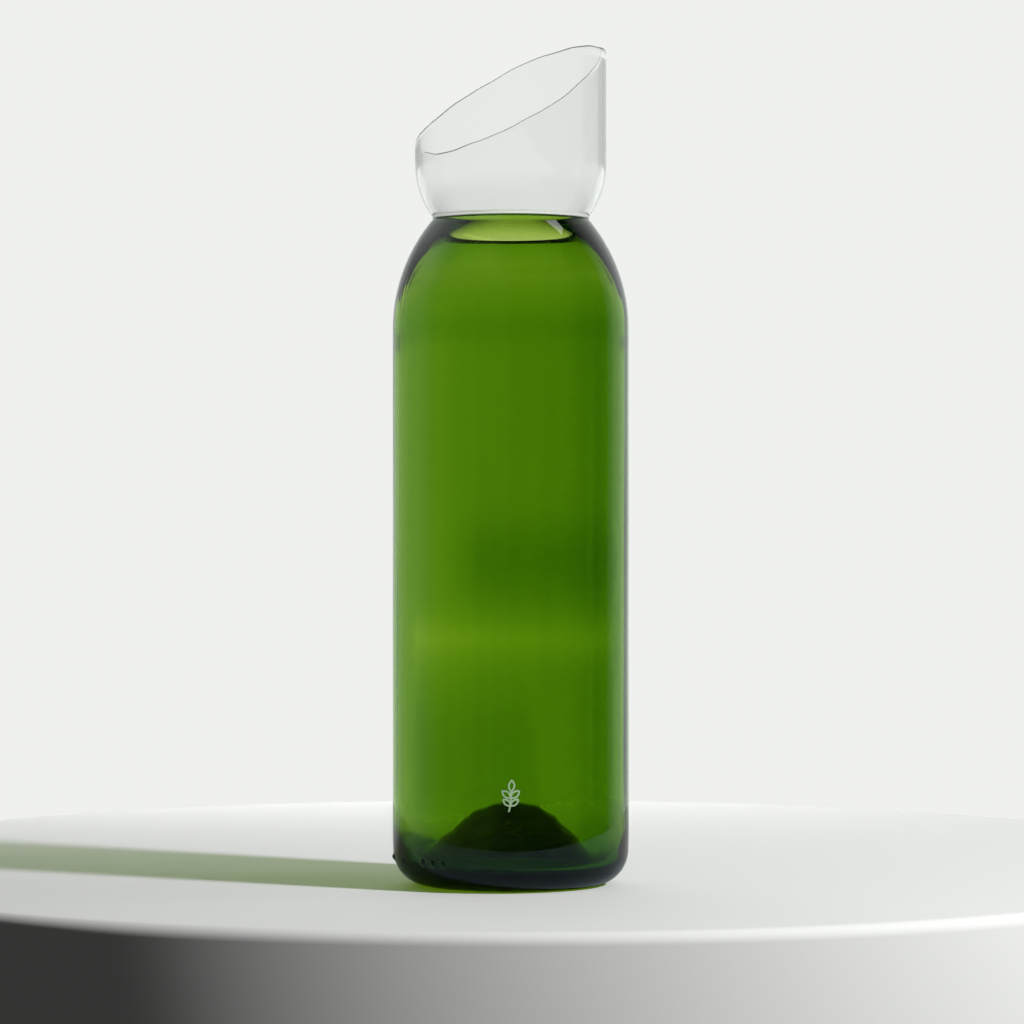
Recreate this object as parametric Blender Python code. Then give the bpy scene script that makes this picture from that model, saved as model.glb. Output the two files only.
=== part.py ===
"""A table carafe: a cut green wine bottle with a slanted clear glass collar bonded on its mouth.

Lengths are metres and +Z is up. The origin is the centre of the ring that the bottle stands on.
The front of the bottle faces -Y. Three closed solids are made: bottle_body, bond_seam and
spout_collar.
"""

import math

import bmesh
import bpy
from mathutils import Vector

# Driving dimensions of the bottle
BODY_RADIUS = 0.0380        # outer radius of the straight wall
WALL = 0.0035               # glass thickness of the straight wall
MOUTH_RADIUS = 0.0250       # outer radius of the cut mouth
RIM_HEIGHT = 0.2140         # height of the ground mouth
SHOULDER_RADIUS = 0.0550    # radius of the shoulder's arc
HEEL_RADIUS = 0.0108        # radius of the rounded bottom edge
BEARING_WIDTH = 0.0019      # width of the flat ring that the bottle stands on
RIM_BEVEL = 0.0004          # ground chamfer on both edges of the mouth

# Glass thickness along the shoulder as (share of its turn, thickness): thin where it was blown
# out most, then thick towards the mouth
SHOULDER_WALL = [
    (0.0, WALL),
    (0.25, 0.0026),
    (0.5, 0.00205),
    (0.75, 0.0025),
    (1.0, 0.0039),
]

# The bottle's floor as (radius, height): its upper side, then its under side, both from the axis out
FLOOR_TOP = [
    (0.0, 0.0270),
    (0.0080, 0.0254),
    (0.0145, 0.0214),
    (0.0190, 0.0167),
    (0.0235, 0.0122),
    (0.0272, 0.0088),
    (0.0306, 0.0072),
    (0.0334, 0.0098),
    (BODY_RADIUS - WALL, 0.0185),
]
FLOOR_UNDER = [
    (0.0, 0.0155),
    (0.0075, 0.0136),
    (0.0124, 0.0104),
    (0.0166, 0.0064),
    (0.0208, 0.0026),
    (0.0238, 0.0006),
    (BODY_RADIUS - HEEL_RADIUS - BEARING_WIDTH, 0.0),
]

# Driving dimensions of the seam and the collar
GAP = 0.0003                # space kept between one solid and the next
SEAM_THICKNESS = 0.0006
SEAM_WIDTH = 0.0018
COLLAR_RADIUS = 0.03075     # outer radius of the collar's straight wall
COLLAR_WALL = 0.00125
COLLAR_CURVE_RADIUS = 0.0280    # radius of the arc that narrows the collar towards its foot
COLLAR_CURVE_TOP = 0.2315   # height where that arc meets the straight wall
LIP_HEIGHT = 0.2526         # height of the slanted lip on the axis
LIP_SLOPE = math.radians(27.3)      # steepness of the lip's plane
LIP_HEADING = math.radians(-21.3)   # direction of the lip's highest point, turned from +X

# Facets
TURN_STEPS = 60             # around the axis
SHOULDER_STEPS = 8
SHOULDER_WALL_STEPS = 2     # between two points of the shoulder's thickness
HEEL_STEPS = 6
FLOOR_STEPS = 2             # between two points of the floor's outline
COLLAR_STEPS = 8
CUTTER_SIZE = 0.12


def clear_scene():
    """Remove the objects that the scene starts with."""
    for scene_object in list(bpy.data.objects):
        bpy.data.objects.remove(scene_object, do_unlink=True)


def glass(name, colour, roughness, ior):
    """Return a Principled material for one kind of glass or clear resin."""
    material = bpy.data.materials.new(name)
    material.use_nodes = True
    shader = material.node_tree.nodes["Principled BSDF"]
    shader.inputs["Base Color"].default_value = (*colour, 1.0)
    shader.inputs["Metallic"].default_value = 0.0
    shader.inputs["Roughness"].default_value = roughness
    shader.inputs["IOR"].default_value = ior
    shader.inputs["Transmission Weight"].default_value = 1.0
    material.diffuse_color = (*colour, 0.6)
    return material


def arc(centre, radius, start, end, steps):
    """Return steps + 1 points (radius, height) of a circular arc between two angles in degrees."""
    points = []
    for step in range(steps + 1):
        angle = math.radians(start + (end - start) * step / steps)
        points.append((centre[0] + radius * math.cos(angle), centre[1] + radius * math.sin(angle)))
    return points


def smooth_curve(points, steps):
    """Return a Catmull-Rom curve through the points, with the given steps between two of them."""
    padded = [points[0], *points, points[-1]]
    curve = []
    for before, start, end, after in zip(padded, padded[1:], padded[2:], padded[3:]):
        for step in range(steps):
            t = step / steps
            curve.append(tuple(
                0.5 * (2 * b + (c - a) * t + (2 * a - 5 * b + 4 * c - d) * t ** 2
                       + (3 * b - a - 3 * c + d) * t ** 3)
                for a, b, c, d in zip(before, start, end, after)
            ))
    return [*curve, points[-1]]


def turned_solid(name, outline, closed, material):
    """Spin an outline of (radius, height) points about Z into one closed object.

    An open outline starts and ends on the axis; a closed one makes a ring.
    """
    mesh_data = bmesh.new()
    corners = [mesh_data.verts.new((radius, 0.0, height)) for radius, height in outline]
    followers = corners[1:] + corners[:1] if closed else corners[1:]
    edges = [mesh_data.edges.new(pair) for pair in zip(corners, followers)]
    bmesh.ops.spin(mesh_data, geom=corners + edges, cent=(0, 0, 0), axis=(0, 0, 1),
                   angle=2 * math.pi, steps=TURN_STEPS, use_merge=True)
    bmesh.ops.remove_doubles(mesh_data, verts=mesh_data.verts, dist=0.000001)
    bmesh.ops.recalc_face_normals(mesh_data, faces=mesh_data.faces)
    mesh = bpy.data.meshes.new(name)
    mesh_data.to_mesh(mesh)
    mesh_data.free()
    mesh.shade_smooth()
    mesh.set_sharp_from_angle(angle=math.radians(35))
    mesh.materials.append(material)
    solid = bpy.data.objects.new(name, mesh)
    bpy.context.scene.collection.objects.link(solid)
    return solid


def shoulder_angle():
    """Return the angle, in degrees, that the shoulder's arc turns from the wall to the mouth."""
    centre_radius = BODY_RADIUS - SHOULDER_RADIUS
    return math.degrees(math.acos((MOUTH_RADIUS - centre_radius) / SHOULDER_RADIUS))


def bottle_outline():
    """Return the bottle's outline: from the axis over the inside to the mouth and down the outside."""
    turn = shoulder_angle()
    centre = (BODY_RADIUS - SHOULDER_RADIUS, RIM_HEIGHT - SHOULDER_RADIUS * math.sin(math.radians(turn)))
    inside = []
    for share, depth in smooth_curve(SHOULDER_WALL, SHOULDER_WALL_STEPS):
        angle = math.radians(turn * share)
        radius = SHOULDER_RADIUS - depth
        inside.append((centre[0] + radius * math.cos(angle), centre[1] + radius * math.sin(angle)))
    last_radius, last_height = inside[-1]
    mouth_inner = last_radius - (RIM_HEIGHT - last_height) * math.tan(math.radians(turn))
    rim = [
        (mouth_inner + RIM_BEVEL * 0.7, RIM_HEIGHT - RIM_BEVEL),
        (mouth_inner + RIM_BEVEL * 1.6, RIM_HEIGHT),
        (MOUTH_RADIUS - RIM_BEVEL * 0.6, RIM_HEIGHT),
    ]
    outside = arc(centre, SHOULDER_RADIUS, turn, 0, SHOULDER_STEPS)
    heel_centre = (BODY_RADIUS - HEEL_RADIUS, HEEL_RADIUS)
    heel = arc(heel_centre, HEEL_RADIUS, 0, -90, HEEL_STEPS)
    floor_top = smooth_curve(FLOOR_TOP, FLOOR_STEPS)
    floor_under = smooth_curve(FLOOR_UNDER, FLOOR_STEPS)[::-1]
    outside[0] = (outside[0][0] + RIM_BEVEL * 0.4, outside[0][1] - RIM_BEVEL)
    return [*floor_top, *inside, *rim, *outside, *heel, *floor_under]


def seam_outline():
    """Return the closed outline of the adhesive ring, which is chamfered on its outer side."""
    bottom = RIM_HEIGHT + GAP
    top = bottom + SEAM_THICKNESS
    outer = MOUTH_RADIUS
    inner = outer - SEAM_WIDTH
    chamfer = SEAM_THICKNESS * 0.3
    return [
        (inner, bottom),
        (outer - chamfer, bottom),
        (outer, bottom + chamfer),
        (outer, top - chamfer),
        (outer - chamfer, top),
        (inner, top),
    ]


def collar_outline():
    """Return the closed outline of the collar before its lip is cut."""
    foot = RIM_HEIGHT + 2 * GAP + SEAM_THICKNESS
    centre = (COLLAR_RADIUS - COLLAR_CURVE_RADIUS, COLLAR_CURVE_TOP)
    drop = COLLAR_CURVE_TOP - foot
    inner_curve = COLLAR_CURVE_RADIUS - COLLAR_WALL
    outer_end = math.degrees(math.asin(drop / COLLAR_CURVE_RADIUS))
    inner_end = math.degrees(math.asin(drop / inner_curve))
    top = LIP_HEIGHT + COLLAR_RADIUS
    outer = arc(centre, COLLAR_CURVE_RADIUS, -outer_end, 0, COLLAR_STEPS)
    inner = arc(centre, inner_curve, 0, -inner_end, COLLAR_STEPS)
    return [*outer, (COLLAR_RADIUS, top), (COLLAR_RADIUS - COLLAR_WALL, top), *inner]


def cut_lip(collar):
    """Cut the collar along the slanted plane of its lip."""
    uphill = Vector((math.cos(LIP_HEADING), math.sin(LIP_HEADING), 0.0))
    normal = Vector((0, 0, math.cos(LIP_SLOPE))) - uphill * math.sin(LIP_SLOPE)
    cube = bmesh.new()
    bmesh.ops.create_cube(cube, size=CUTTER_SIZE)
    mesh = bpy.data.meshes.new("lip_cutter")
    cube.to_mesh(mesh)
    cube.free()
    cutter = bpy.data.objects.new("lip_cutter", mesh)
    cutter.location = Vector((0, 0, LIP_HEIGHT)) + normal * CUTTER_SIZE / 2
    cutter.rotation_mode = "QUATERNION"
    cutter.rotation_quaternion = Vector((0, 0, 1)).rotation_difference(normal)
    cutter.hide_render = True
    cutter.display_type = "WIRE"
    bpy.context.scene.collection.objects.link(cutter)
    cut = collar.modifiers.new("slanted_lip", "BOOLEAN")
    cut.operation = "DIFFERENCE"
    cut.solver = "EXACT"
    cut.object = cutter


def main():
    """Build the three pieces of the carafe."""
    clear_scene()
    green_glass = glass("green_glass", (0.12, 0.27, 0.012), 0.02, 1.52)
    clear_glass = glass("clear_glass", (0.93, 0.96, 0.94), 0.01, 1.47)
    clear_bond = glass("clear_bond", (0.88, 0.90, 0.86), 0.35, 1.48)
    turned_solid("bottle_body", bottle_outline(), False, green_glass)
    turned_solid("bond_seam", seam_outline(), True, clear_bond)
    collar = turned_solid("spout_collar", collar_outline(), True, clear_glass)
    cut_lip(collar)


main()
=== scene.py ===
"""The looks of the table carafe: green bottle glass, a slanted clear collar and the seam between.

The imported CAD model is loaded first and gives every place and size. Each sub-assembly below is a
class that builds its own meshes in metres, in the model's frame, and dresses them.
"""

import logging
import math
from dataclasses import dataclass, field
from enum import Enum

import bmesh
import bpy
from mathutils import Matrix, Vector


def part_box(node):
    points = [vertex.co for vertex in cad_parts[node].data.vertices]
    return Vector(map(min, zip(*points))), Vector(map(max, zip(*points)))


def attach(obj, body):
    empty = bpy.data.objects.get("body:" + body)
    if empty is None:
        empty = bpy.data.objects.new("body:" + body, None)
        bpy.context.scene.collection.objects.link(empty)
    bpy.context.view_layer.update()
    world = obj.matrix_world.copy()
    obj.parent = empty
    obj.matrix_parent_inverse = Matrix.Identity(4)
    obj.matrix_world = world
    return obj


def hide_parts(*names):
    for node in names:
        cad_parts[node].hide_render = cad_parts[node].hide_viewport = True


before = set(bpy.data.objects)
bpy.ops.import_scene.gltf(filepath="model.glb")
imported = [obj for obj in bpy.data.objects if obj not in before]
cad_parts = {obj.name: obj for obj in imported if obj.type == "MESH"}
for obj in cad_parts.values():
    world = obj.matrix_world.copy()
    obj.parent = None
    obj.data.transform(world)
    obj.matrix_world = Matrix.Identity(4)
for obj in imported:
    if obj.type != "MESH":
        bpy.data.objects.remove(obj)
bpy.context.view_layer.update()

LOG = logging.getLogger("carafe")
MM = 0.001
ROOT = "root"
FRONT = -math.pi / 2        # azimuth of the bottle's front, from +X
Outline = list[tuple[float, float]]


class Socket(Enum):
    """The Principled shader's sockets that the finishes set."""

    COLOUR = "Base Color"
    ROUGHNESS = "Roughness"
    IOR = "IOR"
    TRANSMISSION = "Transmission Weight"
    SPECULAR = "Specular IOR Level"


# --------------------------------------------------------------------------- shared geometry


def arc(centre: tuple[float, float], radius: float, start: float, end: float, steps: int) -> Outline:
    """Make a circular arc in the plane of an outline.

    Args:
        centre: The arc's centre as (radius, height).
        radius: The arc's own radius.
        start: First angle in radians, from the outward direction.
        end: Last angle in radians.
        steps: Number of chords.

    Returns:
        steps + 1 points as (radius, height).
    """
    turns = [start + (end - start) * step / steps for step in range(steps + 1)]
    return [(centre[0] + radius * math.cos(t), centre[1] + radius * math.sin(t)) for t in turns]


def smooth_curve(points: Outline, steps: int) -> Outline:
    """Make a Catmull-Rom curve through points.

    Args:
        points: The points that the curve goes through.
        steps: Number of chords between two of them.

    Returns:
        The curve's points, with both ends.
    """
    padded = [points[0], *points, points[-1]]
    curve: Outline = []
    for before, start, end, after in zip(padded, padded[1:], padded[2:], padded[3:]):
        for step in range(steps):
            t = step / steps
            curve.append(tuple(
                0.5 * (2 * b + (c - a) * t + (2 * a - 5 * b + 4 * c - d) * t ** 2
                       + (3 * b - a - 3 * c + d) * t ** 3)
                for a, b, c, d in zip(before, start, end, after)
            ))
    return [*curve, points[-1]]


def straight(start: tuple[float, float], end: tuple[float, float], steps: int) -> Outline:
    """Divide a straight stretch of an outline.

    Args:
        start: First point, which is left out.
        end: Last point, which is left out too.
        steps: Number of chords.

    Returns:
        The steps - 1 points between the two.
    """
    shares = [step / steps for step in range(1, steps)]
    return [tuple(a + (b - a) * share for a, b in zip(start, end)) for share in shares]


def bump(distance: float, width: float) -> float:
    """Return a smooth bell of height 1 that falls off over the given width."""
    return math.exp(-((distance / width) ** 2))


def smooth_step(value: float, start: float, end: float) -> float:
    """Return a smooth rise from 0 at start to 1 at end."""
    share = min(1.0, max(0.0, (value - start) / (end - start)))
    return share * share * (3 - 2 * share)


def grid_mesh(name: str, rings: list[list[Vector]], closed: bool) -> bpy.types.Object:
    """Join rings of points into one closed, smooth mesh.

    Args:
        name: The object's name.
        rings: Rings with the same number of points; a ring of one point is a pole.
        closed: Whether the last ring joins the first again.

    Returns:
        The new object, at the origin.
    """
    mesh_data = bmesh.new()
    made = [[mesh_data.verts.new(point) for point in ring] for ring in rings]
    pairs = list(zip(made, made[1:]))
    if closed:
        pairs.append((made[-1], made[0]))
    for lower, upper in pairs:
        count = max(len(lower), len(upper))
        for column in range(count):
            following = (column + 1) % count
            corners = [
                lower[column % len(lower)],
                lower[following % len(lower)],
                upper[following % len(upper)],
                upper[column % len(upper)],
            ]
            mesh_data.faces.new(list(dict.fromkeys(corners)))
    bmesh.ops.recalc_face_normals(mesh_data, faces=mesh_data.faces)
    mesh = bpy.data.meshes.new(name)
    mesh_data.to_mesh(mesh)
    mesh_data.free()
    mesh.shade_smooth()
    piece = bpy.data.objects.new(name, mesh)
    bpy.context.scene.collection.objects.link(piece)
    return piece


def dress(piece: bpy.types.Object, material: bpy.types.Material, slot: str, *nodes: str) -> None:
    """Give a finished piece its material and its place in the model.

    Args:
        piece: The piece.
        material: Its finish.
        slot: The record's material slot; not used.
        nodes: The CAD nodes that it stands for.
    """
    piece.data.materials.clear()
    piece.data.materials.append(material)
    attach(piece, ROOT)
    if nodes:
        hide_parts(*nodes)
    LOG.info("%s: %d faces", piece.name, len(piece.data.polygons))


# --------------------------------------------------------------------------- finishes


@dataclass(frozen=True)
class GlassFinish:
    """Clear or coloured glass that takes its colour from the depth of glass."""

    name: str
    absorbed: tuple[float, float, float]    # how much of each colour a metre of glass takes away
    ior: float = 1.52
    roughness: float = 0.0
    smear: float = 0.02                     # extra roughness where the surface has been handled
    ripple: float = 0.05                    # strength of the blown surface's waves
    ripple_scale: float = 60.0
    stretch: tuple[float, float, float] = (1.0, 1.0, 0.25)

    def material(self) -> bpy.types.Material:
        """Return the material, with waves in the surface and faint handling marks."""
        material = bpy.data.materials.new(self.name)
        material.use_nodes = True
        tree = material.node_tree
        shader = tree.nodes["Principled BSDF"]
        shader.inputs[Socket.COLOUR.value].default_value = (1.0, 1.0, 1.0, 1.0)
        shader.inputs[Socket.IOR.value].default_value = self.ior
        shader.inputs[Socket.TRANSMISSION.value].default_value = 1.0
        place = tree.nodes.new("ShaderNodeTexCoord")
        mapping = tree.nodes.new("ShaderNodeMapping")
        mapping.inputs["Scale"].default_value = self.stretch
        tree.links.new(place.outputs["Object"], mapping.inputs["Vector"])
        self.add_ripple(tree, shader, mapping)
        self.add_smears(tree, shader, mapping)
        volume = tree.nodes.new("ShaderNodeVolumeAbsorption")
        density = max(self.absorbed)
        volume.inputs["Color"].default_value = (*[1 - a / density for a in self.absorbed], 1.0)
        volume.inputs["Density"].default_value = density
        tree.links.new(volume.outputs["Volume"], tree.nodes["Material Output"].inputs["Volume"])
        return material

    def add_ripple(self, tree: bpy.types.NodeTree, shader: bpy.types.Node,
                   mapping: bpy.types.Node) -> None:
        """Link slow waves to the shader's normal."""
        waves = tree.nodes.new("ShaderNodeTexNoise")
        waves.inputs["Scale"].default_value = self.ripple_scale
        waves.inputs["Detail"].default_value = 2.0
        relief = tree.nodes.new("ShaderNodeBump")
        relief.inputs["Strength"].default_value = self.ripple
        relief.inputs["Distance"].default_value = 0.3 * MM
        tree.links.new(mapping.outputs["Vector"], waves.inputs["Vector"])
        tree.links.new(waves.outputs["Fac"], relief.inputs["Height"])
        tree.links.new(relief.outputs["Normal"], shader.inputs["Normal"])

    def add_smears(self, tree: bpy.types.NodeTree, shader: bpy.types.Node,
                   mapping: bpy.types.Node) -> None:
        """Link patchy handling marks to the shader's roughness."""
        patches = tree.nodes.new("ShaderNodeTexNoise")
        patches.inputs["Scale"].default_value = 35.0
        patches.inputs["Detail"].default_value = 4.0
        spread = tree.nodes.new("ShaderNodeMapRange")
        spread.inputs["From Min"].default_value = 0.5
        spread.inputs["From Max"].default_value = 0.8
        spread.inputs["To Min"].default_value = self.roughness
        spread.inputs["To Max"].default_value = self.roughness + self.smear
        tree.links.new(mapping.outputs["Vector"], patches.inputs["Vector"])
        tree.links.new(patches.outputs["Fac"], spread.inputs["Value"])
        tree.links.new(spread.outputs["Result"], shader.inputs[Socket.ROUGHNESS.value])


@dataclass(frozen=True)
class FrostFinish:
    """A ground, etched or milky surface that scatters the light."""

    name: str
    colour: tuple[float, float, float]
    roughness: float
    transmission: float
    ior: float = 1.48
    grain: float = 900.0

    def material(self) -> bpy.types.Material:
        """Return the material, with a fine grain in its colour and relief."""
        material = bpy.data.materials.new(self.name)
        material.use_nodes = True
        tree = material.node_tree
        shader = tree.nodes["Principled BSDF"]
        shader.inputs[Socket.ROUGHNESS.value].default_value = self.roughness
        shader.inputs[Socket.IOR.value].default_value = self.ior
        shader.inputs[Socket.TRANSMISSION.value].default_value = self.transmission
        place = tree.nodes.new("ShaderNodeTexCoord")
        speckle = tree.nodes.new("ShaderNodeTexNoise")
        speckle.inputs["Scale"].default_value = self.grain
        speckle.inputs["Detail"].default_value = 3.0
        ramp = tree.nodes.new("ShaderNodeValToRGB")
        ramp.color_ramp.elements[0].color = (*[c * 0.82 for c in self.colour], 1.0)
        ramp.color_ramp.elements[1].color = (*[min(c * 1.1, 1.0) for c in self.colour], 1.0)
        relief = tree.nodes.new("ShaderNodeBump")
        relief.inputs["Strength"].default_value = 0.25
        relief.inputs["Distance"].default_value = 0.05 * MM
        tree.links.new(place.outputs["Object"], speckle.inputs["Vector"])
        tree.links.new(speckle.outputs["Fac"], ramp.inputs["Fac"])
        tree.links.new(ramp.outputs["Color"], shader.inputs[Socket.COLOUR.value])
        tree.links.new(speckle.outputs["Fac"], relief.inputs["Height"])
        tree.links.new(relief.outputs["Normal"], shader.inputs["Normal"])
        return material


@dataclass(frozen=True)
class PaintedFloor:
    """The pale matt floor that the carafe is shown on; its front part has painted shade in what the glass
    mirrors.
    """

    colour: tuple[float, float, float] = (0.72, 0.73, 0.71)
    mirrored: tuple[float, float, float] = (0.18, 0.25, 0.31)     # painted shade: the colour of its front part as the glass mirrors it
    roughness: float = 0.75

    def material(self) -> bpy.types.Material:
        """Return the pale material, with painted shade on its front part in mirrored rays."""
        material = bpy.data.materials.new("pale_floor")
        material.use_nodes = True
        tree = material.node_tree
        shader = tree.nodes["Principled BSDF"]
        shader.inputs[Socket.ROUGHNESS.value].default_value = self.roughness
        shader.inputs[Socket.SPECULAR.value].default_value = 0.2
        place = tree.nodes.new("ShaderNodeTexCoord")
        split = tree.nodes.new("ShaderNodeSeparateXYZ")
        front = tree.nodes.new("ShaderNodeMapRange")
        front.inputs["From Min"].default_value = 0.05
        front.inputs["From Max"].default_value = -0.05
        front.inputs["To Min"].default_value = 0.5
        # Painted shade: for rays that the glass mirrors, the floor's front part turns darker, standing in
        # for the shade under and in front of the carafe.
        path = tree.nodes.new("ShaderNodeLightPath")
        painted_reflection_shade = tree.nodes.new("ShaderNodeMath")
        painted_reflection_shade.operation = "MULTIPLY"
        ramp = tree.nodes.new("ShaderNodeValToRGB")
        ramp.color_ramp.elements[0].color = (*self.colour, 1.0)
        ramp.color_ramp.elements[1].color = (*self.mirrored, 1.0)
        ramp.color_ramp.elements.new(0.5).color = (*[0.55 * c for c in self.colour], 1.0)
        link = tree.links.new
        link(place.outputs["Object"], split.inputs["Vector"])
        link(split.outputs["Y"], front.inputs["Value"])
        link(front.outputs["Result"], painted_reflection_shade.inputs[0])
        link(path.outputs["Is Reflection Ray"], painted_reflection_shade.inputs[1])
        link(painted_reflection_shade.outputs["Value"], ramp.inputs["Fac"])
        link(ramp.outputs["Color"], shader.inputs[Socket.COLOUR.value])
        return material


GREEN_GLASS = GlassFinish("green_bottle_glass", absorbed=(357.0, 208.0, 950.0))
CLEAR_GLASS = GlassFinish("clear_collar_glass", absorbed=(34.0, 28.0, 31.0), ior=1.47,
                          ripple=0.03, stretch=(1.0, 1.0, 0.6))
BOND = FrostFinish("clear_bond_resin", colour=(0.92, 0.95, 0.89), roughness=0.30, transmission=0.70)
ETCHING = FrostFinish("etched_frost", colour=(0.50, 0.66, 0.42), roughness=0.60, transmission=0.10)


# --------------------------------------------------------------------------- the green bottle


@dataclass
class GreenBottle:
    """The cut wine bottle: punted floor, straight wall, shoulder and ground mouth."""

    wall: float = 3.5 * MM
    shoulder_radius: float = 55 * MM
    mouth_radius: float = 25 * MM
    heel_radius: float = 10.8 * MM
    bearing_width: float = 1.9 * MM
    knurl_depth: float = 0.25 * MM
    rim_bevel: float = 0.15 * MM
    floor_even: tuple[float, float] = (24 * MM, 31 * MM)    # radii between which the floor turns uneven
    columns: int = 224
    fine_columns: int = 96
    dot_azimuths: tuple[float, ...] = (-34.6, -40.7, -47.5, -65.2, -83.3)
    dot_height: float = 9.0 * MM
    dot_size: tuple[float, float] = (0.6 * MM, 1.0 * MM)
    dot_relief: float = 0.60 * MM
    radius: float = field(init=False)
    rim: float = field(init=False)

    # Glass thickness along the shoulder as (share of its turn, thickness)
    shoulder_wall: tuple[tuple[float, float], ...] = (
        (0.0, 3.5 * MM), (0.25, 2.6 * MM), (0.5, 2.05 * MM), (0.75, 2.5 * MM), (1.0, 3.9 * MM),
    )
    # The floor as (radius, height), from the axis out
    floor_top: tuple[tuple[float, float], ...] = (
        (0.0, 27.0 * MM), (8.0 * MM, 25.4 * MM), (14.5 * MM, 21.4 * MM), (19.0 * MM, 16.7 * MM),
        (23.5 * MM, 12.2 * MM), (27.2 * MM, 8.8 * MM), (30.6 * MM, 7.2 * MM), (33.4 * MM, 9.8 * MM),
        (34.5 * MM, 18.5 * MM),
    )
    floor_under: tuple[tuple[float, float], ...] = (
        (0.0, 15.5 * MM), (7.5 * MM, 13.6 * MM), (12.4 * MM, 10.4 * MM), (16.6 * MM, 6.4 * MM),
        (20.8 * MM, 2.6 * MM), (23.8 * MM, 0.6 * MM),
    )

    def __post_init__(self) -> None:
        """Read the body's radius and the mouth's height from the CAD model."""
        low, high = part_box("bottle_body")
        self.radius = (high.x - low.x) / 2
        self.rim = high.z

    def outline(self) -> tuple[Outline, int]:
        """Return the outline from the axis over the inside, the mouth and the outside to the axis.

        Returns:
            The points, and the index of the first one on the outside.
        """
        centre_radius = self.radius - self.shoulder_radius
        turn = math.acos((self.mouth_radius - centre_radius) / self.shoulder_radius)
        centre = (centre_radius, self.rim - self.shoulder_radius * math.sin(turn))
        floor_top = smooth_curve(list(self.floor_top), 6)
        shoulder_inside: Outline = []
        for share, depth in smooth_curve(list(self.shoulder_wall), 8):
            reach = self.shoulder_radius - depth
            angle = turn * share
            shoulder_inside.append((centre[0] + reach * math.cos(angle),
                                    centre[1] + reach * math.sin(angle)))
        last_radius, last_height = shoulder_inside[-1]
        mouth = last_radius - (self.rim - last_height) * math.tan(turn)
        throat = straight(shoulder_inside[-1], (mouth, self.rim), 4)[:-1]
        bevel = self.rim_bevel
        rim_inner = arc((mouth + 1.5 * bevel, self.rim - bevel), bevel, math.pi, math.pi / 2, 6)
        rim_outer = arc((self.mouth_radius - 1.2 * bevel, self.rim - bevel), bevel,
                        math.pi / 2, turn * 0.8, 6)
        land = straight(rim_inner[-1], rim_outer[0], 4)
        inside_wall = straight(floor_top[-1], shoulder_inside[0], 40)
        outside_shoulder = arc(centre, self.shoulder_radius, turn * 0.992, 0.0, 32)
        heel_centre = (self.radius - self.heel_radius, self.heel_radius)
        heel = arc(heel_centre, self.heel_radius, 0.0, -math.pi / 2, 64)
        outside_wall = straight(outside_shoulder[-1], heel[0], 40)
        bearing = (self.radius - self.heel_radius - self.bearing_width, 0.0)
        under = smooth_curve([*self.floor_under, bearing], 6)[::-1]
        inside = [*floor_top, *inside_wall, *shoulder_inside, *throat, *rim_inner, *land]
        outside = [*rim_outer, *outside_shoulder, *outside_wall, *heel, *under]
        return [*inside, *outside], len(inside)

    def azimuths(self) -> list[float]:
        """Return the columns' azimuths, close together where the moulded dots are."""
        start = FRONT + math.radians(min(self.dot_azimuths) - 5)
        end = FRONT + math.radians(max(self.dot_azimuths) + 5)
        fine = [start + (end - start) * k / self.fine_columns for k in range(self.fine_columns)]
        rest = 2 * math.pi - (end - start)
        coarse = [end + rest * k / self.columns for k in range(self.columns)]
        return fine + coarse

    def dots(self, azimuth: float, height: float) -> float:
        """Return how far the moulded dots raise the heel at one place."""
        relief = 0.0
        for degrees in self.dot_azimuths:
            across = math.remainder(azimuth - FRONT - math.radians(degrees), 2 * math.pi) * self.radius
            along = height - self.dot_height
            relief += self.dot_relief * math.exp(-(((across / self.dot_size[0]) ** 2
                                                    + (along / self.dot_size[1]) ** 2) ** 1.5))
        return relief

    def depth_change(self, azimuth: float, height: float) -> float:
        """Return how much thicker than the outline the blown glass is at one place inside.

        The amounts below are in millimetres, until the last line.
        """
        streaks = (0.08 * math.sin(5 * azimuth + 0.7) + 0.05 * math.sin(11 * azimuth + 2.1 + 9 * height)
                   + 0.035 * math.sin(23 * azimuth + 0.4 - 14 * height)
                   + 0.02 * math.sin(41 * azimuth + 1.3))
        side = math.cos(azimuth)        # 1 on the right, -1 on the left
        behind = math.sin(azimuth)      # 1 at the back, -1 at the front
        # The wall is thinner on both sides, most of all on the left
        lean = (0.10 - 1.75 * max(0.0, -side) ** 2 + 0.2 * bump(side - 0.74, 0.1)
                - 1.3 * smooth_step(side, 0.76, 0.97))
        # Level bands where the glass gathered or was drawn out
        within = 1 - smooth_step(abs(side), 0.78, 0.92)
        thick_band = 0.68 * bump(height - 0.104, 0.012) * smooth_step(side, -0.62, -0.12)
        thin_band = 0.60 * bump(height - 0.079, 0.008)
        low = (0.45 * (1 - smooth_step(height, 0.045, 0.070))
               * (1 - smooth_step(abs(side + 0.3), 0.4, 0.6)))
        bands = (thick_band - thin_band) * within + low
        # All of that fades out towards the floor and along the shoulder
        fade = smooth_step(height, 0.012, 0.034)
        leaning = lean * smooth_step(height, 0.005, 0.018)
        upper = 1 - smooth_step(height, 0.170, 0.206)
        # The shoulder is thick at the back and thin at the front
        back = smooth_step(behind, -0.05, 0.70) * smooth_step(height, 0.173, 0.196)
        back_shoulder = 2.6 * back * (1 - 0.6 * smooth_step(height, 0.203, 0.2135))
        hump = smooth_step(height, 0.180, 0.196) * (1.0 - 0.55 * smooth_step(height, 0.198, 0.2135))
        front_shoulder = 0.95 * hump * smooth_step(-behind, 0.0, 0.6)
        return (((streaks + bands) * fade + leaning) * upper + back_shoulder - front_shoulder) * MM

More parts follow.
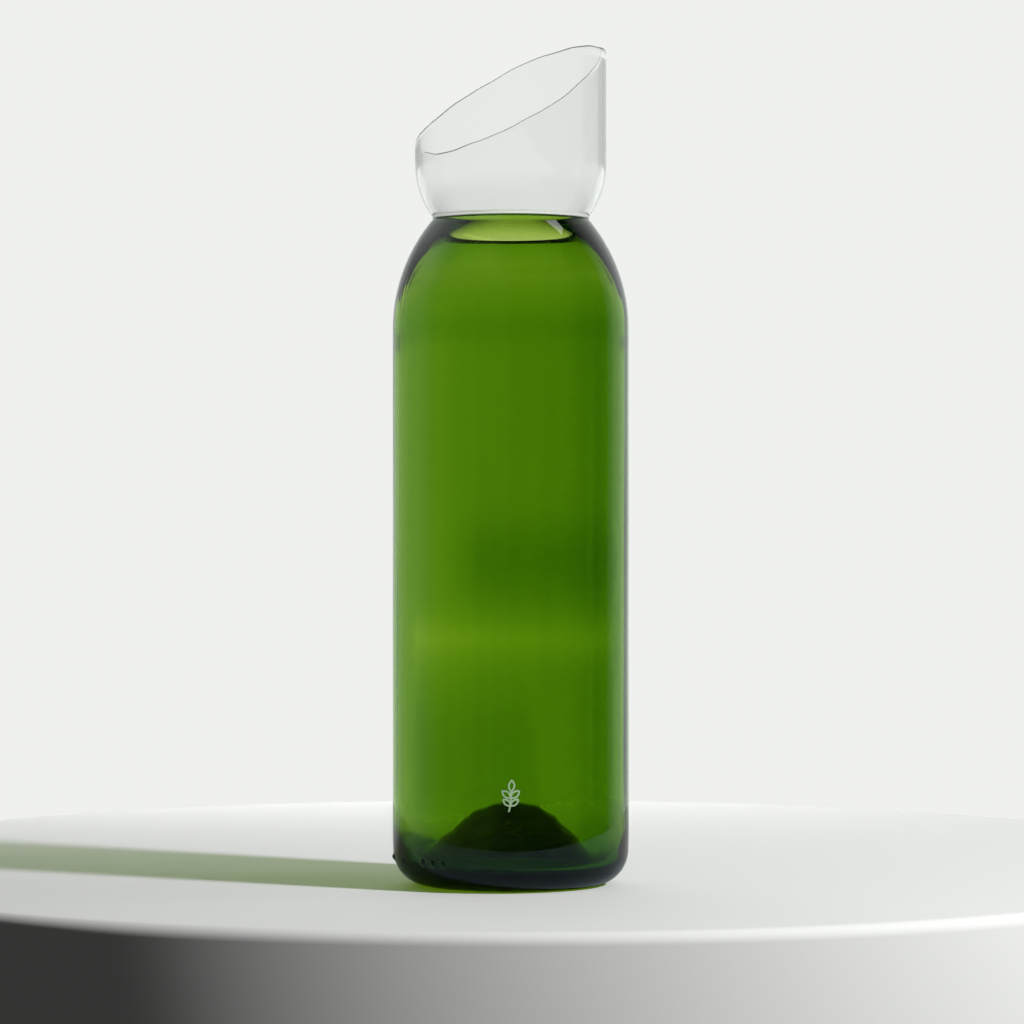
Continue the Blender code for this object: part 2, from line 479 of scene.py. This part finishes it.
    def surface_change(self, azimuth: float, height: float) -> float:
        """Return how far the outside stands proud of the outline at one place."""
        waves = 0.02 * math.sin(3 * azimuth + 60 * height) + 0.012 * math.sin(7 * azimuth - 95 * height)
        seam = 0.05 * sum(bump(math.remainder(azimuth - s, 2 * math.pi) * self.radius, 0.35 * MM)
                          for s in (0.35, 0.35 + math.pi))
        heel_line = 0.10 * bump(height - 4.6 * MM, 0.22 * MM)
        taper = 0.30 * (1 - smooth_step(height, 0.004, 0.017))
        return (waves + seam + heel_line - taper) * MM

    def build(self) -> None:
        """Make the bottle's mesh and dress it."""
        outline, first_outside = self.outline()
        azimuths = self.azimuths()
        rings: list[list[Vector]] = []
        for index, (radius, height) in enumerate(outline):
            if radius < 1e-7:
                rings.append([Vector((0.0, 0.0, height))])
                continue
            ring = []
            for azimuth in azimuths:
                change = 0.0
                if index < first_outside:
                    on_floor = height < self.floor_top[0][1]
                    held = smooth_step(radius, *self.floor_even) if on_floor else 1.0
                    change = -held * self.depth_change(azimuth, height)
                elif radius > self.radius - self.heel_radius:
                    change = self.surface_change(azimuth, height) + self.dots(azimuth, height)
                lift = self.knurl_depth if height < self.knurl_depth else 0.0
                reach = radius + change
                ring.append(Vector((reach * math.cos(azimuth), reach * math.sin(azimuth),
                                    max(height, lift))))
            rings.append(ring)
        bottle = grid_mesh("green_bottle", rings, closed=False)
        dress(bottle, GREEN_GLASS.material(), "green_glass", "bottle_body")


# --------------------------------------------------------------------------- the grip ring


@dataclass
class BaseKnurls:
    """The ring of short moulded ribs that the bottle stands on."""

    count: int = 110
    length: float = 1.7 * MM
    width: float = 0.55 * MM
    height: float = 0.30 * MM
    radius: float = 26.5 * MM

    def rib_tree(self, material: bpy.types.Material) -> bpy.types.NodeTree:
        """Return the node tree that sets ribs round a circle.

        Args:
            material: The finish that the ribs get.
        """
        tree = bpy.data.node_groups.new("base_knurls", "GeometryNodeTree")
        for name in ("Radius", "Length", "Width", "Height"):
            tree.interface.new_socket(name, in_out="INPUT", socket_type="NodeSocketFloat")
        tree.interface.new_socket("Count", in_out="INPUT", socket_type="NodeSocketInt")
        tree.interface.new_socket("Geometry", in_out="OUTPUT", socket_type="NodeSocketGeometry")
        entry = tree.nodes.new("NodeGroupInput")
        leave = tree.nodes.new("NodeGroupOutput")
        circle = tree.nodes.new("GeometryNodeMeshCircle")
        rib = tree.nodes.new("GeometryNodeMeshUVSphere")
        rib.inputs["Segments"].default_value = 12
        rib.inputs["Rings"].default_value = 8
        rib.inputs["Radius"].default_value = 0.5
        size = tree.nodes.new("ShaderNodeCombineXYZ")
        shaped = tree.nodes.new("GeometryNodeTransform")
        instances = tree.nodes.new("GeometryNodeInstanceOnPoints")
        position = tree.nodes.new("GeometryNodeInputPosition")
        turned = tree.nodes.new("FunctionNodeAlignRotationToVector")
        turned.axis = "X"
        realize = tree.nodes.new("GeometryNodeRealizeInstances")
        finish = tree.nodes.new("GeometryNodeSetMaterial")
        finish.inputs["Material"].default_value = material
        links = tree.links
        links.new(entry.outputs["Radius"], circle.inputs["Radius"])
        links.new(entry.outputs["Count"], circle.inputs["Vertices"])
        links.new(entry.outputs["Length"], size.inputs["X"])
        links.new(entry.outputs["Width"], size.inputs["Y"])
        links.new(entry.outputs["Height"], size.inputs["Z"])
        links.new(rib.outputs["Mesh"], shaped.inputs["Geometry"])
        links.new(size.outputs["Vector"], shaped.inputs["Scale"])
        links.new(position.outputs["Position"], turned.inputs["Vector"])
        links.new(circle.outputs["Mesh"], instances.inputs["Points"])
        links.new(shaped.outputs["Geometry"], instances.inputs["Instance"])
        links.new(turned.outputs["Rotation"], instances.inputs["Rotation"])
        links.new(instances.outputs["Instances"], realize.inputs["Geometry"])
        links.new(realize.outputs["Geometry"], finish.inputs["Geometry"])
        links.new(finish.outputs["Geometry"], leave.inputs["Geometry"])
        return tree

    def build(self, material: bpy.types.Material) -> None:
        """Make the ribs as one plain mesh and dress it.

        Args:
            material: The bottle's own glass.
        """
        tree = self.rib_tree(material)
        holder = bpy.data.objects.new("knurl_source", bpy.data.meshes.new("knurl_source"))
        bpy.context.scene.collection.objects.link(holder)
        modifier = holder.modifiers.new("ribs", "NODES")
        modifier.node_group = tree
        sizes = {"Radius": self.radius, "Length": self.length, "Width": self.width,
                 "Height": self.height, "Count": self.count}
        for item in tree.interface.items_tree:
            if item.item_type == "SOCKET" and item.in_out == "INPUT":
                modifier[item.identifier] = sizes[item.name]
        graph = bpy.context.evaluated_depsgraph_get()
        mesh = bpy.data.meshes.new_from_object(holder.evaluated_get(graph))
        bpy.data.objects.remove(holder)
        for vertex in mesh.vertices:
            vertex.co.z += self.height / 2
        mesh.shade_smooth()
        ribs = bpy.data.objects.new("base_knurls", mesh)
        bpy.context.scene.collection.objects.link(ribs)
        dress(ribs, material, "green_glass")


# --------------------------------------------------------------------------- seam and collar


@dataclass
class BondSeam:
    """The thin milky ring of adhesive between the ground mouth and the collar."""

    width: float = 2.0 * MM
    swell: float = 0.25 * MM        # how far the bead bulges past the mouth's edge
    bite: float = 0.08 * MM         # how far the resin keys into the ground edges
    columns: int = 192

    def build(self) -> None:
        """Make the bead's mesh and dress it."""
        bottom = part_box("bottle_body")[1].z - self.bite
        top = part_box("spout_collar")[0].z + self.bite
        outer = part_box("bond_seam")[1].x
        half = (top - bottom) / 2
        middle = bottom + half
        bead = [(outer - 0.1 * MM + (self.swell + 0.1 * MM) * math.cos(t), middle + half * math.sin(t))
                for t in [math.pi * (step / 10 - 0.5) for step in range(11)]]
        outline = [*bead, (outer - self.width, top), (outer - self.width, bottom)]
        rings = []
        for radius, height in outline:
            ring = []
            for column in range(self.columns):
                azimuth = 2 * math.pi * column / self.columns
                wobble = 0.05 * MM * math.sin(7 * azimuth + 1) + 0.03 * MM * math.sin(17 * azimuth)
                reach = radius + (wobble if radius > outer - 0.2 * MM else 0.0)
                ring.append(Vector((reach * math.cos(azimuth), reach * math.sin(azimuth), height)))
            rings.append(ring)
        seam = grid_mesh("bond_bead", rings, closed=True)
        dress(seam, BOND.material(), "clear_bond", "bond_seam")


@dataclass
class ClearCollar:
    """The clear glass collar: narrowed foot, straight wall and a fire-polished slanted lip."""

    wall: float = 1.25 * MM
    curve_radius: float = 28 * MM
    curve_top: float = 231.5 * MM
    lip_height: float = 252.6 * MM      # height of the lip's plane on the axis
    lip_slope: float = math.radians(27.3)
    lip_heading: float = math.radians(-21.3)
    columns: int = 256
    radius: float = field(init=False)
    foot: float = field(init=False)

    def __post_init__(self) -> None:
        """Read the collar's radius and the height of its foot from the CAD model."""
        low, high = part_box("spout_collar")
        self.radius = (high.x - low.x) / 2
        self.foot = low.z

    def lip(self, azimuth: float) -> float:
        """Return the lip's height at one azimuth, with the small unevenness of cut glass."""
        slope = self.radius * math.tan(self.lip_slope) * math.cos(azimuth - self.lip_heading)
        uneven = (0.22 * math.sin(4 * azimuth + 0.6) + 0.14 * math.sin(9 * azimuth + 2)
                  + 0.07 * math.sin(19 * azimuth))
        return self.lip_height + slope + uneven * MM

    def column(self, azimuth: float) -> Outline:
        """Return the closed outline of the collar's glass at one azimuth."""
        centre = (self.radius - self.curve_radius, self.curve_top)
        drop = self.curve_top - self.foot
        inner_reach = self.curve_radius - self.wall
        outer_end = math.asin(drop / self.curve_radius)
        inner_end = math.asin(drop / inner_reach)
        outer_curve = arc(centre, self.curve_radius, -outer_end, 0.0, 16)
        inner_curve = arc(centre, inner_reach, 0.0, -inner_end, 16)
        half = self.wall / 2
        middle = self.radius - half
        top = self.lip(azimuth) - half
        edge = [(middle + 1.06 * half * math.cos(t), top + half * math.sin(t))
                for t in [math.pi * step / 10 for step in range(11)]]
        outer_wall = straight(outer_curve[-1], edge[0], 12)
        inner_wall = straight(edge[-1], inner_curve[0], 12)
        return [*outer_curve, *outer_wall, *edge, *inner_wall, *inner_curve]

    def build(self) -> None:
        """Make the collar's mesh and dress it."""
        azimuths = [2 * math.pi * k / self.columns for k in range(self.columns)]
        columns = [self.column(azimuth) for azimuth in azimuths]
        rings = []
        for index in range(len(columns[0])):
            ring = []
            for azimuth, outline in zip(azimuths, columns):
                radius, height = outline[index]
                ring.append(Vector((radius * math.cos(azimuth), radius * math.sin(azimuth), height)))
            rings.append(ring)
        collar = grid_mesh("clear_collar", rings, closed=True)
        collar.data.set_sharp_from_angle(angle=math.radians(40))
        dress(collar, CLEAR_GLASS.material(), "clear_glass", "spout_collar")


# --------------------------------------------------------------------------- the etched mark


@dataclass
class LeafSprig:
    """A small etched sprig of leaves on the front, low on the wall."""

    centre_height: float = 31.0 * MM
    line: float = 0.55 * MM
    proud: float = 0.03 * MM
    depth: float = 0.03 * MM
    radius: float = field(init=False)

    def __post_init__(self) -> None:
        """Read the wall's radius from the CAD model."""
        low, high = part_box("bottle_body")
        self.radius = (high.x - low.x) / 2

    def on_wall(self, across: float, up: float, lift: float) -> Vector:
        """Wrap a point of the flat drawing on the wall.

        Args:
            across: Distance to the right of the front's middle line.
            up: Distance above the mark's centre.
            lift: Distance from the glass.

        Returns:
            The point in the model's frame.
        """
        reach = self.radius + lift
        azimuth = FRONT + across / self.radius
        return Vector((reach * math.cos(azimuth), reach * math.sin(azimuth), self.centre_height + up))

    def stroke(self, mesh_data: bmesh.types.BMesh, path: Outline) -> None:
        """Add one etched line as a thin closed band.

        Args:
            mesh_data: The mesh that the band joins.
            path: The line's middle, in the flat drawing.
        """
        sections = []
        for index, (across, up) in enumerate(path):
            before, after = path[max(index - 1, 0)], path[min(index + 1, len(path) - 1)]
            along = Vector((after[0] - before[0], after[1] - before[1])).normalized()
            side = Vector((-along.y, along.x)) * self.line / 2
            section = []
            for sign, lift in ((1, self.proud), (-1, self.proud),
                               (-1, self.proud + self.depth), (1, self.proud + self.depth)):
                place = self.on_wall(across + sign * side.x, up + sign * side.y, lift)
                section.append(mesh_data.verts.new(place))
            sections.append(section)
        for lower, upper in zip(sections, sections[1:]):
            for k in range(4):
                mesh_data.faces.new((lower[k], lower[(k + 1) % 4], upper[(k + 1) % 4], upper[k]))
        mesh_data.faces.new(sections[0])
        mesh_data.faces.new(sections[-1][::-1])

    def leaf(self, base: tuple[float, float], heading: float, length: float) -> list[Outline]:
        """Return both edges of one leaf.

        Args:
            base: Where the leaf leaves the stem.
            heading: Its direction in radians, from the right.
            length: Its length.

        Returns:
            Two lines from the base to the tip.
        """
        edges = []
        for sign in (1, -1):
            edge = []
            for step in range(13):
                share = step / 12
                out = sign * 0.24 * length * math.sin(math.pi * share) ** 0.9
                along = length * share
                edge.append((base[0] + along * math.cos(heading) - out * math.sin(heading),
                             base[1] + along * math.sin(heading) + out * math.cos(heading)))
            edges.append(edge)
        return edges

    def build(self) -> None:
        """Make the mark's mesh and dress it."""
        stem = smooth_curve([(-0.6 * MM, -4.9 * MM), (0.0, -2.0 * MM), (0.15 * MM, 1.6 * MM)], 8)
        strokes = [stem]
        strokes += self.leaf((0.15 * MM, 1.4 * MM), math.radians(86), 3.6 * MM)
        for height, length in ((-0.6 * MM, 3.5 * MM), (-3.0 * MM, 3.1 * MM)):
            for heading in (math.radians(40), math.radians(140)):
                strokes += self.leaf((0.0, height), heading, length)
        mesh_data = bmesh.new()
        for path in strokes:
            self.stroke(mesh_data, path)
        bmesh.ops.recalc_face_normals(mesh_data, faces=mesh_data.faces)
        mesh = bpy.data.meshes.new("etched_sprig")
        mesh_data.to_mesh(mesh)
        mesh_data.free()
        sprig = bpy.data.objects.new("etched_sprig", mesh)
        bpy.context.scene.collection.objects.link(sprig)
        dress(sprig, ETCHING.material(), "green_glass")


# --------------------------------------------------------------------------- the stage


@dataclass
class Stage:
    """Pale floor, pale surroundings, soft lights and the camera."""

    floor_radius: float = 0.250
    floor_centre: float = 0.107         # how far behind the carafe its middle is
    floor_depth: float = 0.060
    eye_distance: float = 1.222
    eye_height: float = 0.1197
    eye_side: float = 0.0004
    field_of_view: float = 2 * math.atan(512 / 3794)
    ambient: float = 0.055
    key_place: tuple[float, float, float] = (1.15, -0.66, 0.95)
    key_size: tuple[float, float] = (0.14, 0.14)
    key_power: float = 33.0

    # Brightness of what the glass mirrors, from the camera's side (0) round to the back (1)
    left_mirrored: tuple[tuple[float, float], ...] = (
        (0.0, 0.02), (0.22, 0.03), (0.355, 0.06), (0.465, 0.15), (0.585, 0.31), (0.75, 0.31),
        (0.81, 0.37), (0.88, 0.42), (0.925, 0.54), (1.0, 0.75),
    )
    right_mirrored: tuple[tuple[float, float], ...] = (
        (0.0, 0.01), (0.640, 0.015), (0.668, 0.12), (0.694, 0.22), (0.745, 0.40), (0.805, 0.52),
        (0.870, 0.66), (0.935, 0.76), (1.0, 0.80),
    )

    def floor(self) -> None:
        """Make the round floor slab."""
        top = [(self.floor_radius - 0.004, 0.0)]
        edge = arc((self.floor_radius - 0.004, -0.004), 0.004, math.pi / 2, 0.0, 6)
        outline = [(0.0, 0.0), *top, *edge[1:], (self.floor_radius, -self.floor_depth),
                   (0.0, -self.floor_depth)]
        rings = []
        for radius, height in outline:
            count = 192 if radius else 1
            rings.append([Vector((radius * math.cos(2 * math.pi * k / count),
                                  self.floor_centre + radius * math.sin(2 * math.pi * k / count),
                                  height))
                          for k in range(count)])
        slab = grid_mesh("floor", rings, closed=False)
        slab.data.set_sharp_from_angle(angle=math.radians(35))
        slab.data.materials.append(PaintedFloor().material())

    def surroundings(self) -> None:
        """Set the pale surroundings, which the glass mirrors more darkly than it shows them."""
        world = bpy.data.worlds.new("pale_room")
        bpy.context.scene.world = world
        world.use_nodes = True
        tree = world.node_tree
        shown = tree.nodes["Background"]
        shown.inputs["Color"].default_value = (0.865, 0.877, 0.852, 1.0)
        mirrored = tree.nodes.new("ShaderNodeBackground")
        mirrored.inputs["Color"].default_value = (0.93, 1.0, 0.97, 1.0)
        place = tree.nodes.new("ShaderNodeTexCoord")
        split = tree.nodes.new("ShaderNodeSeparateXYZ")
        path = tree.nodes.new("ShaderNodeLightPath")
        mix = tree.nodes.new("ShaderNodeMixShader")
        link = tree.links.new
        link(place.outputs["Generated"], split.inputs["Vector"])
        across, along, up = split.outputs
        # What the glass mirrors: soft on the left, with a clear edge on the right
        back = self.math(tree, "MULTIPLY_ADD", along, 0.5, 0.5)
        left = self.curve(tree, back, self.left_mirrored)
        right = self.curve(tree, back, self.right_mirrored)
        on_right = self.math(tree, "GREATER_THAN", across, 0.0)
        on_left = self.math(tree, "SUBTRACT", 1.0, on_right)
        both = self.math(tree, "MULTIPLY_ADD", right, on_right, self.math(tree, "MULTIPLY", left, on_left))
        skylight = self.math(tree, "MULTIPLY", self.ramp(tree, along, (-0.15, 0.35), (0.02, 0.40)),
                             on_left)
        overhead = self.math(tree, "MULTIPLY", self.ramp(tree, up, (0.25, 0.60), (0.0, 1.0)),
                             skylight)
        low = self.ramp(tree, up, (-0.55, -0.20), (0.15, 1.0))
        link(self.math(tree, "MULTIPLY_ADD", both, low, overhead), mirrored.inputs["Strength"])
        # What shows through the glass: brighter at the sides, dark overhead and underneath
        offset = self.math(tree, "ABSOLUTE", across)
        sideways = self.math(tree, "MULTIPLY", self.ramp(tree, offset, (0.14, 0.24), (0.0, 1.0)),
                             self.ramp(tree, along, (0.14, 0.24), (0.0, 1.0)))
        sideways = self.math(tree, "MULTIPLY", sideways,
                             self.ramp(tree, up, (-0.15, -0.11), (0.0, 1.0)))
        aside = self.math(tree, "MULTIPLY_ADD", sideways,
                          self.ramp(tree, up, (0.045, 0.085), (0.35, -0.35)), 1.0)
        above = self.ramp(tree, up, (0.24, 0.50), (1.0, 0.20))
        leftward = self.ramp(tree, across, (-0.30, -0.08), (0.8, 0.0))
        above = self.math(tree, "MULTIPLY_ADD", self.math(tree, "SUBTRACT", 1.0, above),
                          leftward, above)
        below = self.ramp(tree, up, (-0.40, -0.20), (0.12, 1.0))
        clear = self.math(tree, "MULTIPLY", aside, self.math(tree, "MULTIPLY", above, below))
        # What lights the matt pieces
        plain = self.ramp(tree, path.outputs["Is Camera Ray"], (0.0, 1.0), (self.ambient, 1.0))
        through = path.outputs["Is Transmission Ray"]
        direct = self.math(tree, "SUBTRACT", 1.0, through)
        seen = self.math(tree, "MULTIPLY_ADD", clear, through, self.math(tree, "MULTIPLY", plain, direct))
        link(seen, shown.inputs["Strength"])
        glossy = self.math(tree, "SUBTRACT", path.outputs["Is Reflection Ray"],
                           path.outputs["Is Diffuse Ray"])
        link(glossy, mix.inputs["Fac"])
        link(shown.outputs["Background"], mix.inputs[1])
        link(mirrored.outputs["Background"], mix.inputs[2])
        link(mix.outputs["Shader"], tree.nodes["World Output"].inputs["Surface"])

    def curve(self, tree: bpy.types.NodeTree, value: bpy.types.NodeSocket,
              stops: tuple[tuple[float, float], ...]) -> bpy.types.NodeSocket:
        """Add a curve through stops.

        Args:
            tree: The tree that it joins.
            value: What it reads, from 0 to 1.
            stops: Pairs of the value and what the curve gives there.

        Returns:
            The node's output.
        """
        node = tree.nodes.new("ShaderNodeValToRGB")
        elements = node.color_ramp.elements
        for element, (place, level) in zip(elements, (stops[0], stops[-1])):
            element.position = place
            element.color = (level, level, level, 1.0)
        for place, level in stops[1:-1]:
            elements.new(place).color = (level, level, level, 1.0)
        tree.links.new(value, node.inputs["Fac"])
        return node.outputs["Color"]

    def math(self, tree: bpy.types.NodeTree, operation: str,
             *values: bpy.types.NodeSocket | float) -> bpy.types.NodeSocket:
        """Add a Math node.

        Args:
            tree: The tree that it joins.
            operation: The node's operation.
            values: Sockets or numbers for its inputs, in order.

        Returns:
            The node's output.
        """
        node = tree.nodes.new("ShaderNodeMath")
        node.operation = operation
        for entry, value in zip(node.inputs, values):
            if isinstance(value, float):
                entry.default_value = value
            else:
                tree.links.new(value, entry)
        return node.outputs[0]

    def ramp(self, tree: bpy.types.NodeTree, value: bpy.types.NodeSocket, start: tuple[float, float],
             end: tuple[float, float]) -> bpy.types.NodeSocket:
        """Add a smooth step.

        Args:
            tree: The tree that it joins.
            value: What it reads.
            start: The two values between which it changes.
            end: What it gives at each of them.

        Returns:
            The node's output.
        """
        node = tree.nodes.new("ShaderNodeMapRange")
        node.interpolation_type = "SMOOTHSTEP"
        node.inputs["From Min"].default_value, node.inputs["From Max"].default_value = start
        node.inputs["To Min"].default_value, node.inputs["To Max"].default_value = end
        tree.links.new(value, node.inputs["Value"])
        return node.outputs["Result"]

    def light(self, name: str, place: tuple[float, float, float], size: tuple[float, float],
              power: float, mirrored: bool = False,
              colour: tuple[float, float, float] = (1.0, 1.0, 1.0),
              target: tuple[float, float, float] = (0.0, 0.0, 0.11)) -> bpy.types.Object:
        """Add one soft light, which isn't seen through the glass.

        Args:
            name: The light's name.
            place: Where it stands.
            size: Its width and height.
            power: Its power in watts.
            mirrored: Whether the glass mirrors it.
            colour: Its colour.
            target: Where it points.

        Returns:
            The light's object.
        """
        lamp = bpy.data.lights.new(name, "AREA")
        lamp.shape = "RECTANGLE"
        lamp.size, lamp.size_y = size
        lamp.energy = power
        lamp.color = colour
        holder = bpy.data.objects.new(name, lamp)
        holder.location = place
        holder.rotation_mode = "QUATERNION"
        holder.rotation_quaternion = (Vector(target) - Vector(place)).to_track_quat("-Z", "Y")
        holder.visible_glossy = mirrored
        holder.visible_transmission = False
        holder.visible_camera = False
        bpy.context.scene.collection.objects.link(holder)
        return holder

    def stopped_by(self, lamp: bpy.types.Object, *names: str) -> None:
        """Let only the named objects stop a light.

        Args:
            lamp: The light's object.
            names: The objects that throw a shadow in it.
        """
        blockers = bpy.data.collections.new(f"stops_{lamp.name}")
        for name in names:
            blockers.objects.link(bpy.data.objects[name])
        lamp.light_linking.blocker_collection = blockers

    def camera(self) -> None:
        """Place the camera level with the middle of the wall, in front."""
        data = bpy.data.cameras.new("front_camera")
        data.sensor_width = 36.0
        data.lens = data.sensor_width / 2 / math.tan(self.field_of_view / 2)
        eye = bpy.data.objects.new("front_camera", data)
        eye.location = (self.eye_side, -self.eye_distance, self.eye_height)
        eye.rotation_euler = (math.pi / 2, 0.0, 0.0)
        bpy.context.scene.collection.objects.link(eye)
        bpy.context.scene.camera = eye

    def build(self) -> None:
        """Set the whole stage."""
        self.floor()
        self.surroundings()
        # The bottle stops the key light but not its tinted share, so its shadow is green
        key = self.light("key", self.key_place, self.key_size, self.key_power,
                         colour=(0.86, 0.74, 1.0))
        self.stopped_by(key, "floor", "green_bottle")
        tinted = self.light("key_through_glass", self.key_place, self.key_size, self.key_power,
                            colour=(0.14, 0.26, 0.0))
        self.stopped_by(tinted, "floor")
        self.light("overhead", (0.1, 0.7, 1.3), (1.2, 1.2), 0.4)
        self.light("wall_wash", (-0.12, 0.62, 0.20), (0.7, 0.12), 2.3, target=(-0.06, 0.28, 0.0))
        self.light("window", (0.50, 0.06, 1.2), (0.16, 0.50), 0.8, mirrored=True)
        # A light for the milky bead alone, which the others leave too dark
        seam_fill = self.light("seam_fill", (-0.9, -0.9, 0.7), (0.5, 0.5), 16.0)
        lit = bpy.data.collections.new("lit_by_seam_fill")
        lit.objects.link(bpy.data.objects["bond_bead"])
        seam_fill.light_linking.receiver_collection = lit
        self.stopped_by(seam_fill, "floor")
        self.camera()
        bpy.context.scene.view_settings.view_transform = "Standard"
        LOG.info("stage set")


def main() -> None:
    """Build the carafe and its stage, in order."""
    logging.basicConfig(level=logging.INFO, format="%(name)s %(message)s")
    GreenBottle().build()
    BaseKnurls().build(bpy.data.materials[GREEN_GLASS.name])
    BondSeam().build()
    ClearCollar().build()
    LeafSprig().build()
    Stage().build()
    LOG.info("sizes written")


if __name__ == "__main__":
    main()
